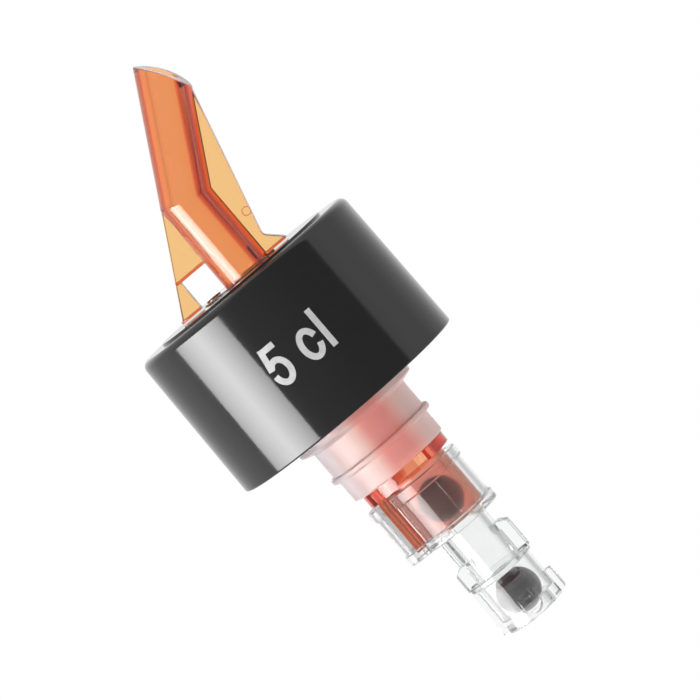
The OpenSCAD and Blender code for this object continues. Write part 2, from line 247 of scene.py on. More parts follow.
# a node socket that takes part in Python arithmetic
class Wire:
    def __init__(self, tree, socket):
        self.tree = tree
        self.socket = socket

    def reckon(self, operation, first, second=None):
        node = self.tree.nodes.new("ShaderNodeMath")
        node.operation = operation
        for index, value in enumerate((first, second)):
            if isinstance(value, Wire):
                self.tree.links.new(value.socket, node.inputs[index])
            elif value is not None:
                node.inputs[index].default_value = value
        return Wire(self.tree, node.outputs[0])

    def __add__(self, other):
        return self.reckon("ADD", self, other)

    def __radd__(self, other):
        return self.reckon("ADD", other, self)

    def __sub__(self, other):
        return self.reckon("SUBTRACT", self, other)

    def __rsub__(self, other):
        return self.reckon("SUBTRACT", other, self)

    def __mul__(self, other):
        return self.reckon("MULTIPLY", self, other)

    def __rmul__(self, other):
        return self.reckon("MULTIPLY", other, self)

    def __truediv__(self, other):
        return self.reckon("DIVIDE", self, other)

    def __pow__(self, other):
        return self.reckon("POWER", self, other)

    def __abs__(self):
        return self.reckon("ABSOLUTE", self)


# one material's or world's node tree
class Finish:
    def __init__(self, owner):
        self.owner = owner
        owner.use_nodes = True
        self.tree = owner.node_tree
        self.tree.nodes.clear()

    # makes a node: its settings, then the values or links of its sockets, with _ for a space in a name.
    # A ramp's stops are its positions and grey levels
    def node(self, kind, settings=None, **sockets):
        made = self.tree.nodes.new(kind)
        for key, value in (settings or {}).items():
            if key == "stops":
                self.setStops(made.color_ramp.elements, value)
            else:
                setattr(made, key, value)
        for key, value in sockets.items():
            socket = made.inputs[key.replace("_", " ")]
            if isinstance(value, Wire):
                self.tree.links.new(value.socket, socket)
            else:
                socket.default_value = value
        return made

    def setStops(self, elements, stops):
        while len(elements) < len(stops):
            elements.new(0.5)
        for element, (position, level) in zip(elements, stops):
            element.position = position
            element.color = (level, level, level, 1)

    def wire(self, made, output=0):
        return Wire(self.tree, made.outputs[output])

    # Object coordinates, turned and scaled
    def objectPlace(self, scale=(1, 1, 1), turn=(0, 0, 0)):
        where = self.wire(self.node("ShaderNodeTexCoord"), "Object")
        return self.wire(self.node("ShaderNodeMapping", None, Vector=where, Scale=scale, Rotation=turn))

    # the named axes of the place on the object, in millimetres
    def whereMm(self, axes):
        made = self.node("ShaderNodeSeparateXYZ", None, Vector=self.objectPlace())
        return [self.wire(made, axis) / mm for axis in axes]

    def noise(self, scale, detail=3.0, rough=0.55, stretch=(1, 1, 1), turn=(0, 0, 0)):
        where = self.objectPlace(stretch, turn)
        made = self.node("ShaderNodeTexNoise", None, Vector=where, Scale=scale, Detail=detail,
                         Roughness=rough)
        return self.wire(made)

    # a span of values brought to another span and held at its ends
    def spread(self, value, fromLow, fromHigh, toLow=0, toHigh=1):
        made = self.node("ShaderNodeMapRange", {"clamp": True}, Value=value, From_Min=fromLow,
                         From_Max=fromHigh, To_Min=toLow, To_Max=toHigh)
        return self.wire(made)

    # a share of the second shader over the first
    def blend(self, share, first, second):
        made = self.node("ShaderNodeMixShader", None, Fac=share)
        self.tree.links.new(first.outputs[0], made.inputs[1])
        self.tree.links.new(second.outputs[0], made.inputs[2])
        return made

    # a mix of two colours: the Mix node's colours are its inputs 6 and 7, and their mix its output 2
    def tint(self, factor, first, second):
        made = self.node("ShaderNodeMix", {"data_type": "RGBA"})
        for index, value in ((0, factor), (6, first), (7, second)):
            if isinstance(value, Wire):
                self.tree.links.new(value.socket, made.inputs[index])
            else:
                made.inputs[index].default_value = value
        return Wire(self.tree, made.outputs[2])

    def bump(self, height, strength, distance):
        made = self.node("ShaderNodeBump", None, Height=height, Strength=strength, Distance=distance)
        return self.wire(made)

    def show(self, surface, volume=None, output="ShaderNodeOutputMaterial"):
        out = self.node(output)
        self.tree.links.new(surface.outputs[0], out.inputs["Surface"])
        if volume:
            self.tree.links.new(volume.outputs[0], out.inputs["Volume"])
        return self.owner


# see-through orange: tints, most of them painted light and shade, and the zones in millimetres where each
# comes in
orangeLook = {
    "rough": 0.03, "smudge": 0.05, "smudgeScale": 160, "ripple": 0.06, "rippleScale": 220, "ior": 1.53,
    "skinLow": (1.0, 0.96, 0.93, 1), "skinHigh": (1.0, 0.98, 0.96, 1),
    "bodyColour": (0.988, 0.745, 0.475, 1), "density": 1000,
    "haze": 0.02, "hazeColour": (0.95, 0.88, 0.85, 1),
    "aboveZone": (36.3, 36.5), "finZone": (0.93, 0.97), "finTint": (0.98, 0.92, 0.58, 1),
    # flank, deep and rim tints: painted shade, the dark red band of bent light on the tube's right flank,
    # with a painted lighter rim
    "flankZone": (2.25, 2.6), "flankTint": (0.95, 0.42, 0.55, 1),
    "deepZone": (3.5, 3.62), "deepTint": (0.4, 0.1, 0.28, 1),
    "rimZone": (4.02, 4.12), "rimTint": (0.95, 0.6, 0.95, 1),
    # band and low tints: the lower moulding painted pink for its depth of plastic and, as painted light, for
    # light scattered in it; lug tint: painted shade on the right lug
    "bandZone": (-4.9, -4.7), "bandPaintedTint": (0.96, 0.7, 0.68, 1),
    "lugZone": (3.6, 4.2), "lugPaintedShade": (0.75, 0.3, 0.42, 1),
    "lowZone": (-7.4, -7.2), "lowPaintedTint": (1.0, 0.74, 0.88, 1), "lowRough": 0.15,
    "edgeAside": (4.58, 4.64), "edgeDeep": (1.0, 1.1), "edgeLow": (36.26, 36.3), "edgeHigh": (45.2, 45.4),
    "edgeTint": (0.8, 0.3, 0.2, 1),
}
# clear plastic; the outer wall of the cup's vent channel has a painted pale haze, standing in for light
# scattered there
clearLook = {
    "rough": 0.05, "smudge": 0.04, "smudgeScale": 190, "ripple": 0.05, "rippleScale": 260, "ior": 1.46,
    "skinLow": (0.97, 0.98, 0.98, 1), "skinHigh": (1.0, 1.0, 1.0, 1),
    "bodyColour": (0.9, 0.95, 0.95, 1), "density": 15,
    "haze": 0.01, "hazeColour": (0.95, 0.92, 0.94, 1), "channelPaintedHaze": 0.28, "channelZone": (-7.3, -6.9),
}
cageLook = dict(clearLook, haze=0.005)
# handling marks that the see-through plastics share, with the ripple's depth in metres
handling = {
    "scratchScale": 900, "stretch": (1.0, 1.0, 0.05), "turn": (0.4, 0.2, 0.9), "scratchRough": 0.03,
    "hazeRough": 0.6, "hazeIor": 1.2, "rippleDeep": 0.0002,
}
grainDeep = 0.0001    # depth in metres of the fine grain on the other finishes


# tints of the orange moulding by place, partly for its depth of plastic and partly painted light and shade:
# a painted dark red band of bent light on the tube's right flank in three steps, the fin, the lower moulding
# painted pink with its right lug in painted shade, and the ledge's and strips' sides a darker red. across is
# measured to the right of the tube's axis, on whichever of its two runs gives less
def orangeTintsAndPaintedShading(f, look, colour):
    x, y, z = f.whereMm("XYZ")
    aside = x - tubeX
    across = aside.reckon("MINIMUM", aside, aside * math.cos(lean) - (z - spout["bend"]) * math.sin(lean))
    above = f.spread(z, *look["aboveZone"])
    # painted shade: the dark red band of bent light on the right flank, darkest deep in, then a painted
    # lighter rim
    for kind in ("flank", "deep", "rim"):
        colour = f.tint(f.spread(across, *look[kind + "Zone"]) * above, colour, look[kind + "Tint"])
    colour = f.tint(f.spread(abs(y), *look["finZone"], 1, 0) * above, colour, look["finTint"])
    # the lower moulding painted pink for its depth and for scattered light, and its right lug in painted
    # shade
    band = f.spread(z, *look["bandZone"], 1, 0)
    colour = f.tint(band, colour, look["bandPaintedTint"])
    colour = f.tint(band * f.spread(aside, *look["lugZone"]), colour, look["lugPaintedShade"])
    below = f.spread(z, *look["lowZone"], 1, 0)
    colour = f.tint(below, colour, look["lowPaintedTint"])
    edge = f.spread(abs(aside), *look["edgeAside"]) * f.spread(abs(y), *look["edgeDeep"])
    edge = edge * f.spread(z, *look["edgeLow"]) * f.spread(z, *look["edgeHigh"], 1, 0)
    return f.tint(edge, colour, look["edgeTint"]), look["lowRough"] * below


# see-through plastic: clear skin with faint handling marks and a little haze over a body that absorbs
# colour with depth
def clearPlastic(name, look):
    f = Finish(bpy.data.materials.new(name))
    smudge = f.noise(look["smudgeScale"], 4.0)
    scratch = f.noise(handling["scratchScale"], 2.0, 0.7, handling["stretch"], handling["turn"])
    rough = look["rough"] + look["smudge"] * f.spread(smudge, 0.45, 0.75)
    rough = rough + handling["scratchRough"] * f.spread(scratch, 0.68, 0.75)
    ripple = f.noise(look["rippleScale"], 2.0)
    colour = f.tint(f.spread(smudge, 0.3, 0.7), look["skinLow"], look["skinHigh"])
    share = look["haze"]
    if "finTint" in look:
        # the orange's tints, most of them painted light and shade
        colour, lowRough = orangeTintsAndPaintedShading(f, look, colour)
        rough = rough + lowRough
    # painted light: more pale haze on the vent channel's outer wall, for light scattered there
    if "channelPaintedHaze" in look:
        share = share + look["channelPaintedHaze"] * f.spread(f.whereMm("X")[0], *look["channelZone"], 1, 0)
    skin = f.node("ShaderNodeBsdfPrincipled", None, Base_Color=colour, Roughness=rough, IOR=look["ior"],
                  Transmission_Weight=1.0, Normal=f.bump(ripple, look["ripple"], handling["rippleDeep"]))
    haze = f.node("ShaderNodeBsdfPrincipled", None, Base_Color=look["hazeColour"],
                  Roughness=handling["hazeRough"], IOR=handling["hazeIor"])
    body = f.node("ShaderNodeVolumeAbsorption", None, Color=look["bodyColour"], Density=look["density"])
    return f.show(f.blend(share, skin, haze), body)


blackLook = {
    "hazeScale": 120, "dustScale": 2600, "grainScale": 1500, "rough": 0.07, "hazeRough": 0.04,
    "clean": (0.012, 0.012, 0.012, 1), "dusty": (0.05, 0.05, 0.05, 1), "grain": 0.04, "ior": 1.5,
}


# black gloss moulding with a faint haze of handling and dust
def blackMoulding(look):
    f = Finish(bpy.data.materials.new("blackMoulding"))
    haze = f.noise(look["hazeScale"], 5.0)
    dust = f.noise(look["dustScale"], 2.0, 0.6)
    rough = look["rough"] + look["hazeRough"] * f.spread(haze, 0.4, 0.7)
    colour = f.tint(f.spread(dust, 0.74, 0.8), look["clean"], look["dusty"])
    grain = f.bump(f.noise(look["grainScale"], 2.0), look["grain"], grainDeep)
    skin = f.node("ShaderNodeBsdfPrincipled", None, Base_Color=colour, Roughness=rough, IOR=look["ior"],
                  Normal=grain)
    return f.show(skin)


# zones in millimetres along X, but skin, which is a radius
corkLook = {
    "cloudScale": 140, "pale": (1.0, 0.85, 0.87, 1), "paler": (1.0, 0.89, 0.9, 1),
    "grainScale": 1800, "grain": 0.12, "skinZone": (7.8, 8.2),
    # the warm and tube tints and the warm milk share are painted light: the orange tube's glow through the
    # frosting
    "warmZone": (-5.4, -0.6), "paintedWarmTint": (1.0, 0.76, 0.7, 1),
    "tubeLeft": (-0.9, 1.3), "tubeRight": (5.2, 7.5), "tubeRest": 0.15, "paintedTubeTint": (1.0, 0.4, 0.37, 1),
    "veilRough": 0.36, "veilIor": 1.2, "coat": 0.65, "coatRough": 0.3, "coatIor": 1.5,
    "milkRough": 0.5, "milkIor": 1.4, "milk": 0.32, "paintedWarmMilk": 0.3,
}


# milky soft plastic: light passes through it but is scattered, and the orange tube's glow through it is
# painted into its colour
def frostedCork(look):
    f = Finish(bpy.data.materials.new("frostedCork"))
    cloud = f.noise(look["cloudScale"], 3.0)
    colour = f.tint(f.spread(cloud, 0.35, 0.7), look["pale"], look["paler"])
    x, y = f.whereMm("XY")
    outside = f.spread((x * x + y * y) ** 0.5, *look["skinZone"])
    # painted glow: the orange tube stands off centre, and its light through the frosting is painted into the
    # milk, warmer from the left on, most over the tube
    paintedWarmth = f.spread(x, *look["warmZone"])
    paintedTubeGlow = f.spread(x, *look["tubeLeft"]) * f.spread(x, *look["tubeRight"], 1, look["tubeRest"])
    paintedGlow = f.tint(paintedTubeGlow, f.tint(paintedWarmth, colour, look["paintedWarmTint"]), look["paintedTubeTint"])
    grain = f.bump(f.noise(look["grainScale"], 3.0), look["grain"], grainDeep)
    veil = f.node("ShaderNodeBsdfPrincipled", None, Base_Color=colour, Roughness=look["veilRough"],
                  IOR=look["veilIor"], Transmission_Weight=1.0, Coat_Weight=look["coat"] * outside,
                  Coat_Roughness=look["coatRough"], Coat_IOR=look["coatIor"], Normal=grain)
    milk = f.node("ShaderNodeBsdfPrincipled", None, Base_Color=paintedGlow, Roughness=look["milkRough"],
                  IOR=look["milkIor"], Normal=grain)
    # the painted glow takes a larger share of the surface from the left on
    return f.show(f.blend((look["milk"] + look["paintedWarmMilk"] * paintedWarmth) * outside, veil, milk))


steelLook = {
    "scratchScale": 1400, "stretch": (1.0, 0.06, 1.0), "turn": (0.3, 0.8, 0.2), "scratch": 0.05,
    "rough": 0.14, "scratchRough": 0.12, "cloudScale": 350,
    "dark": (0.27, 0.26, 0.26, 1), "light": (0.36, 0.35, 0.35, 1),
}


# ground steel with fine scratches
def steelBall(look):
    f = Finish(bpy.data.materials.new("steelBall"))
    scratch = f.noise(look["scratchScale"], 2.0, 0.7, look["stretch"], look["turn"])
    rough = look["rough"] + look["scratchRough"] * f.spread(scratch, 0.5, 0.75)
    cloud = f.noise(look["cloudScale"], 3.0)
    colour = f.tint(f.spread(cloud, 0.35, 0.7), look["dark"], look["light"])
    skin = f.node("ShaderNodeBsdfPrincipled", None, Base_Color=colour, Roughness=rough, Metallic=1.0,
                  Normal=f.bump(scratch, look["scratch"], grainDeep))
    return f.show(skin)


inkLook = {
    "wearScale": 900, "worn": (0.46, 0.46, 0.46, 1), "fresh": (0.56, 0.56, 0.56, 1),
    "rough": 0.45, "wearRough": 0.1,
}


# pale ink of the volume mark
def markInk(look):
    f = Finish(bpy.data.materials.new("markInk"))
    wear = f.noise(look["wearScale"], 3.0)
    colour = f.tint(f.spread(wear, 0.3, 0.7), look["worn"], look["fresh"])
    rough = look["rough"] + look["wearRough"] * wear
    return f.show(f.node("ShaderNodeBsdfPrincipled", None, Base_Color=colour, Roughness=rough))


# spout, in millimetres. The post has its half sizes, a lug its radius, height, start and half width, and the
# ejector ring its x, z, inner and outer radius, and how far it stands out and goes in
spout = {
    "outer": 4.55, "bore": 2.45, "bend": 51.75, "lean": 29.7, "leg": 20.8,
    "mouthSlant": 28.0, "mouthCurve": 18.0, "lip": 0.16, "start": 20.6,
    "fin": 1.8, "base": 36.25, "footReach": 10.4, "footEdge": 0.45, "flare": 3.0, "waist": 7.7,
    "windowBack": -8.05, "windowTop": 41.75, "ledge": 0.5, "strip": 3.0, "stripHeight": 0.45,
    "root": 3.6, "inset": 0.15,
    "hub": 7.5, "hubWall": 1.2, "hubCap": 1.6, "hubEdge": 0.15, "hubCore": 0.4, "barrelLow": -7.15,
    "meterBore": 4.4, "meterWall": 1.25, "seat": 19.81,
    "vent": -5.5, "ventOuter": 1.4, "ventBore": 0.6, "ventRim": 0.3, "post": (1.1, 2.8),
    "inletTop": -5.3, "inletHigh": 2.2, "inletWide": 6.0,
    "ejector": (8.25, 43.9, 0.64, 0.83, 0.25, 0.2),
    "lugTop": -4.85, "lugLeft": (8.1, 2.5, 4.1, 4.0), "lugRight": (9.0, 1.9, 5.475, 7.0),
    "tubeGap": 0.3, "ventGap": 0.2, "throatGap": 0.05, "ventDown": 0.2, "postBite": 0.02,
    "stripIn": 0.02, "stripLift": 0.01, "heelBack": 0.5,
}
lean = math.radians(spout["lean"])

orange = clearPlastic("orangeClear", orangeLook)
clear = clearPlastic("cupClear", clearLook)
cageClear = clearPlastic("cageClear", cageLook)
black = blackMoulding(blackLook)
frosted = frostedCork(corkLook)
steel = steelBall(steelLook)
ink = markInk(inkLook)
print("finishes made")


# point beside the upper leg's axis: across the leg, then along it from the bend
def onLeg(across, along):
    x = tubeX + across * math.cos(lean) + along * math.sin(lean)
    z = spout["bend"] - across * math.sin(lean) + along * math.cos(lean)
    return x, z


# bent tube: two straight runs that meet on the mitre plane, z = bend - across tan(lean / 2), and end on the
# mouth's arc, along = mouthAlong + sqrt(curve^2 - (across - mouthAcross)^2). The grid runs up outside and
# down the bore
def bentTube():
    t = np.linspace(0, 2 * np.pi, 192, endpoint=False)
    slant = math.radians(spout["mouthSlant"])
    curve = spout["mouthCurve"]
    back = math.sqrt(curve ** 2 - (spout["outer"] / math.cos(slant)) ** 2)
    mouthAcross = -back * math.sin(slant)
    mouthAlong = spout["leg"] - back * math.cos(slant)

    def ring(radius, kind, drop=0.0):
        across = radius * np.cos(t)
        y = radius * np.sin(t)
        if kind == "start":
            return np.stack([tubeX + across, y, np.full_like(t, spout["start"])], -1)
        if kind == "mitre":
            return np.stack([tubeX + across, y, spout["bend"] - across * math.tan(lean / 2)], -1)
        along = mouthAlong + np.sqrt(curve ** 2 - (across - mouthAcross) ** 2) - drop
        x, z = onLeg(across, along)
        return np.stack([x, y, z], -1)

    r, bore, lip = spout["outer"], spout["bore"], spout["lip"]
    rings = [ring(r, "start"), ring(r, "mitre")]
    for turn in np.linspace(0, np.pi / 2, 4):
        rings.append(ring(r - lip * (1 - math.cos(turn)), "mouth", lip * (1 - math.sin(turn))))
    for turn in np.linspace(np.pi / 2, 0, 4):
        rings.append(ring(bore + lip * (1 - math.cos(turn)), "mouth", lip * (1 - math.sin(turn))))
    rings += [ring(bore, "mitre"), ring(bore, "start")]
    return solid("bentTube", np.stack(rings), gridFaces(len(rings), len(t)))


# the back fin's edge at a height: it runs on in line with the leg's left side
def backEdgeX(z):
    x, top = onLeg(spout["inset"] - spout["outer"], spout["outer"])
    return x - (top - z) * math.tan(lean)


# fin behind the bend, open towards the tube where its window is
def backFin():
    base, root = spout["base"], spout["root"]
    corners = [
        (tubeX - root, spout["windowTop"]), (spout["windowBack"], spout["windowTop"]),
        (spout["windowBack"], base), (backEdgeX(base), base),
        onLeg(spout["inset"] - spout["outer"], spout["outer"]), onLeg(-root, spout["outer"]),
        (tubeX - root, spout["bend"] + root * math.tan(lean / 2)),
    ]
    return plate("backFin", rounded(corners, (0.2, 0.4, 0.2, 0.2, 0.2, 0.2, 0.3), 5), spout["fin"], 0.16)


# fin under the leaning leg, which flares to the right foot
def frontFin():
    base, root = spout["base"], spout["root"]
    drop = spout["outer"] * math.tan(math.radians(spout["mouthSlant"]))
    heelAlong = spout["leg"] - drop - 2 * spout["inset"]
    corners = [
        (tubeX + root, base), (spout["footReach"], base), (spout["footReach"], base + spout["footEdge"]),
        (spout["waist"], base + spout["flare"]), onLeg(spout["outer"] - spout["inset"], heelAlong),
        onLeg(root, heelAlong - spout["heelBack"]),
        (tubeX + root, spout["bend"] - root * math.tan(lean / 2)),
    ]
    return plate("frontFin", rounded(corners, (0.2, 0.2, 0.2, 1.2, 0.2, 0.2, 0.3), 6), spout["fin"], 0.16)


# ring of a tube: outer and bore radius between two heights
def pipe(name, outer, bore, low, high, centreX):
    corners = [(bore, low), (outer, low), (outer, high), (bore, high)]
    return turned(name, rounded(corners, 0.12, 3), centreX, 128)


# piece of a disc beside the barrel: the arc up to a half width, then straight in to x = start
def lug(side, radius, height, start, half):
    reach = math.asin(half / radius)
    a = np.linspace(-reach, reach, 40)
    arc = np.stack([radius * np.cos(a), radius * np.sin(a)], -1)
    outline = np.concatenate([arc, [(start, half), (start, -half)]]) * (side, 1)
    return prism("lug", outline, spout["lugTop"] - height, spout["lugTop"], 0.08)


# flat post below the vent, widened by a gap where it cuts its own seat
def ventPost(gap, top):
    halfX, halfY = (size + gap for size in spout["post"])
    low = (spout["vent"] - halfX, -halfY, spoutLow[2] - gap)
    return block("post", low, (spout["vent"] + halfX, halfY, top), 0.12)


# ring that an ejector pin left on the front fin's face
def ejectorRing():
    x, z, inner, outer, proud, sunk = spout["ejector"]
    face = spout["fin"] / 2
    corners = [(inner, face - sunk), (outer, face - sunk), (outer, face + proud), (inner, face + proud)]
    ring = turned("ejector", rounded(corners, 0.03, 3), 0.0, 64)
    ring.data.transform(Matrix.Translation((x, 0, z)) @ Matrix.Rotation(math.pi / 2, 4, "X"))
    return ring


# the whole moulding: tube and fins, hub and barrel, metering tube with the ball's seat, vent and lugs
def spoutBody():
    s = spout
    halfStrip = s["strip"] / 2
    root = s["root"]
    capLow = s["base"] - s["hubCap"]
    meterLow = spoutLow[2]
    hubInner = s["hub"] - s["hubWall"]
    # the core is a hole on the hub's own axis, inside the tube's bore
    hub = turned("hub", [
        (hubInner, s["barrelLow"]), (s["hub"], s["barrelLow"]), (s["hub"], s["base"] - s["hubEdge"]),
        (s["hub"] - s["hubEdge"], s["base"]), (s["hubCore"], s["base"]), (s["hubCore"], capLow),
        (hubInner, capLow)])
    hub = shaped(hub, cuts=[
        rod("tubeHole", s["bore"] + s["tubeGap"], capLow - past, s["base"] + past, tubeX),
        rod("ventHole", s["ventBore"] + s["ventGap"], capLow - past, s["base"] + past, s["vent"])])
    seatLow = s["seat"] - (s["meterBore"] - s["bore"])
    seatTop = s["seat"] + s["meterWall"]
    meterOuter = s["meterBore"] + s["meterWall"]
    throat = s["bore"] + s["throatGap"]
    meter = turned("meter", [
        (s["meterBore"], meterLow), (meterOuter, meterLow), (meterOuter, seatTop), (throat, seatTop),
        (throat, s["seat"]), (s["meterBore"], seatLow)], tubeX)
    inlet = block("inlet", (tubeX - s["inletWide"] / 2, 0, s["inletTop"] - s["inletHigh"]),
                  (tubeX + s["inletWide"] / 2, s["hub"] + past, s["inletTop"]), 0.2)
    ventTop = s["base"] + s["ventRim"]
    ventLow = s["barrelLow"] - s["ventDown"]
    vent = pipe("vent", s["ventOuter"], s["ventBore"], ventLow, ventTop, s["vent"])
    post = shaped(ventPost(0.0, s["barrelLow"] + s["postBite"]), cuts=[
        rod("postBore", s["ventBore"], meterLow - past, s["barrelLow"] + past, s["vent"])])
    ledgeTop = s["windowTop"] + s["ledge"]
    ledge = block("ledge", (backEdgeX(ledgeTop), -halfStrip, s["windowTop"] - s["stripLift"]),
                  (tubeX - root, halfStrip, ledgeTop))
    stripLow = s["base"] + s["stripLift"]
    stripTop = s["base"] + s["stripHeight"]
    backStrip = block("backStrip", (backEdgeX(s["base"]) + s["stripIn"], -halfStrip, stripLow),
                      (s["windowBack"] - s["stripIn"], halfStrip, stripTop))
    frontStrip = block("frontStrip", (tubeX + root, -halfStrip, stripLow),
                       (s["footReach"] - s["stripIn"], halfStrip, stripTop))
    return shaped(bentTube(), [
        backFin(), frontFin(), hub, meter, vent, post, lug(-1, *s["lugLeft"]), lug(1, *s["lugRight"]),
        ejectorRing(), ledge, backStrip, frontStrip], [inlet])


# the edges on the plane where the two runs meet stay sharp
def creaseMitre(mesh):
    spots = np.empty(len(mesh.vertices) * 3)
    mesh.vertices.foreach_get("co", spots)
    x, z = spots.reshape(-1, 3).T[[0, 2]] / mm
    onPlane = np.abs(z - spout["bend"] + (x - tubeX) * math.tan(lean / 2)) < 0.01
    ends = np.empty(len(mesh.edges) * 2, int)
    mesh.edges.foreach_get("vertices", ends)
    sharp = np.zeros(len(mesh.edges), bool)
    mesh.attributes["sharp_edge"].data.foreach_get("value", sharp)
    mesh.attributes["sharp_edge"].data.foreach_set("value", sharp | onPlane[ends.reshape(-1, 2)].all(1))


place(spoutBody(), "spoutMoulding", orange, "pourer", ["spout"], crease=creaseMitre)

# collar, in millimetres
collar = {
    "draft": 0.35, "round": 1.4, "wall": 1.8, "boss": 17.05, "bossHigh": 0.4, "hole": 7.58, "sleeve": 1.4,
    "ribs": 8, "ribThick": 1.2, "ribBite": 0.4, "bossDraft": 0.05,
}


# turned shell with a rounded shoulder and a low boss, hollow below, with ribs between sleeve and wall
def collarShell():
    low, top = collarLow[2], collarHigh[2]
    shoulder = top - collar["bossHigh"]
    outer = collarHigh[0]
    topR = outer - collar["draft"]
    sleeveR = collar["hole"] + collar["sleeve"]
    innerR = topR - collar["wall"]
    ceiling = shoulder - collar["wall"]
    corners = [
        (collar["hole"], low), (sleeveR, low), (sleeveR, ceiling), (innerR, ceiling), (innerR, low),
        (outer, low), (topR, shoulder), (collar["boss"], shoulder),
        (collar["boss"] - collar["bossDraft"], top), (collar["hole"], top)]
    edges = (0.15, 0.15, 0.4, 0.4, 0.25, 0.35, collar["round"], 0.12, 0.14, 0.15)
    shell = turned("shell", rounded(corners, edges, 8), 0.0, 240)
    bite, ribLow = collar["ribBite"], low + collar["wall"]
    span = [
        (sleeveR - bite, ribLow), (innerR + bite, ribLow), (innerR + bite, ceiling + bite),
        (sleeveR - bite, ceiling + bite)]
    ribs = []
    for index in range(collar["ribs"]):
        ribs.append(plate("rib", span, collar["ribThick"], 0.1, 3, index * 2 * math.pi / collar["ribs"]))
    return shaped(shell, ribs)


place(collarShell(), "collarShell", black, "collar", ["collar"])

# cork, in millimetres
cork = {
    "hole": 7.55, "lower": 9.4, "rib": 10.4, "ribHigh": 0.5, "upper": 9.65, "coneLow": 5.65,
    "flangeLow": 6.35, "edges": (0.2, 0.35, 0.25, 0.28, 0.28, 0.25, 0.3, 0.3, 0.35, 0.2),
}


# turned stopper: two tiers, the sealing rib between them and the flange above
def corkStopper():
    low, top = corkLow[2], corkHigh[2]
    flange = corkHigh[0]
    corners = [
        (cork["hole"], low), (cork["lower"], low), (cork["lower"], -cork["ribHigh"]),
        (cork["rib"], -cork["ribHigh"]), (cork["rib"], cork["ribHigh"]), (cork["upper"], cork["ribHigh"]),
        (cork["upper"], cork["coneLow"]), (flange, cork["flangeLow"]), (flange, top), (cork["hole"], top)]
    return turned("cork", rounded(corners, cork["edges"], 6), 0.0, 200)


place(corkStopper(), "corkStopper", frosted, "pourer", ["cork"])

# cup and neck, in millimetres
cup = {
    "outer": 7.2, "channel": 8.9, "channelHalf": 4.2, "channelRound": 1.3, "fillet": 0.5,
    "wall": 1.0, "lip": 0.35, "band": 2.0, "floor": -17.35, "floorThick": 1.8, "bleed": 1.3,
    "neck": 4.5, "neckBore": 3.2, "boreTop": -18.25, "groove": 0.6, "grooveIn": 4.35,
    "grooveOut": 5.7, "guide": 1.5, "guideHigh": 4.9, "guideY": 3.3,
    "arm": 3.6, "pocket": 1.1, "pockets": ((-1, -26.05), (1, -23.85)), "pocketHigh": 1.5,
    "seam": 19.4, "seamWide": 0.2, "seamHigh": 0.08, "seamIn": 0.3, "lipSlope": 0.1, "grooveOver": 0.3,
    "neckBite": 0.5, "guideBite": 0.4, "bleedDown": 0.2, "armGap": 0.05, "postGap": 0.05,
}


# plan of the cup, grown by an offset: arcs of fixed centres about the tube, the fillets and the vent channel
def cupPlan(grow):
    c = cup
    half, fillet, bend = c["channelHalf"], c["fillet"], c["channelRound"]
    filletX = tubeX - math.sqrt((c["outer"] + fillet) ** 2 - (half + fillet) ** 2)
    bendX = -math.sqrt((c["channel"] - bend) ** 2 - (half - bend) ** 2)
    meet = math.atan2(half + fillet, filletX - tubeX)
    turn = math.atan2(half - bend, bendX)
    arcs = [
        (tubeX, 0, c["outer"] + grow, -meet, meet, 120),
        (filletX, half + fillet, fillet - grow, meet + math.pi, 1.5 * math.pi, 8),
        (bendX, half - bend, bend + grow, math.pi / 2, turn, 10),
        (0, 0, c["channel"] + grow, turn, 2 * math.pi - turn, 24),
        (bendX, bend - half, bend + grow, 2 * math.pi - turn, 1.5 * math.pi, 10),
        (filletX, -half - fillet, fillet - grow, math.pi / 2, math.pi - meet, 8)]
    points = []
    for x, y, radius, start, end, count in arcs:
        a = np.linspace(start, end, count)
        points.append(np.stack([x + radius * np.cos(a), y + radius * np.sin(a)], -1))
    return np.concatenate(points)


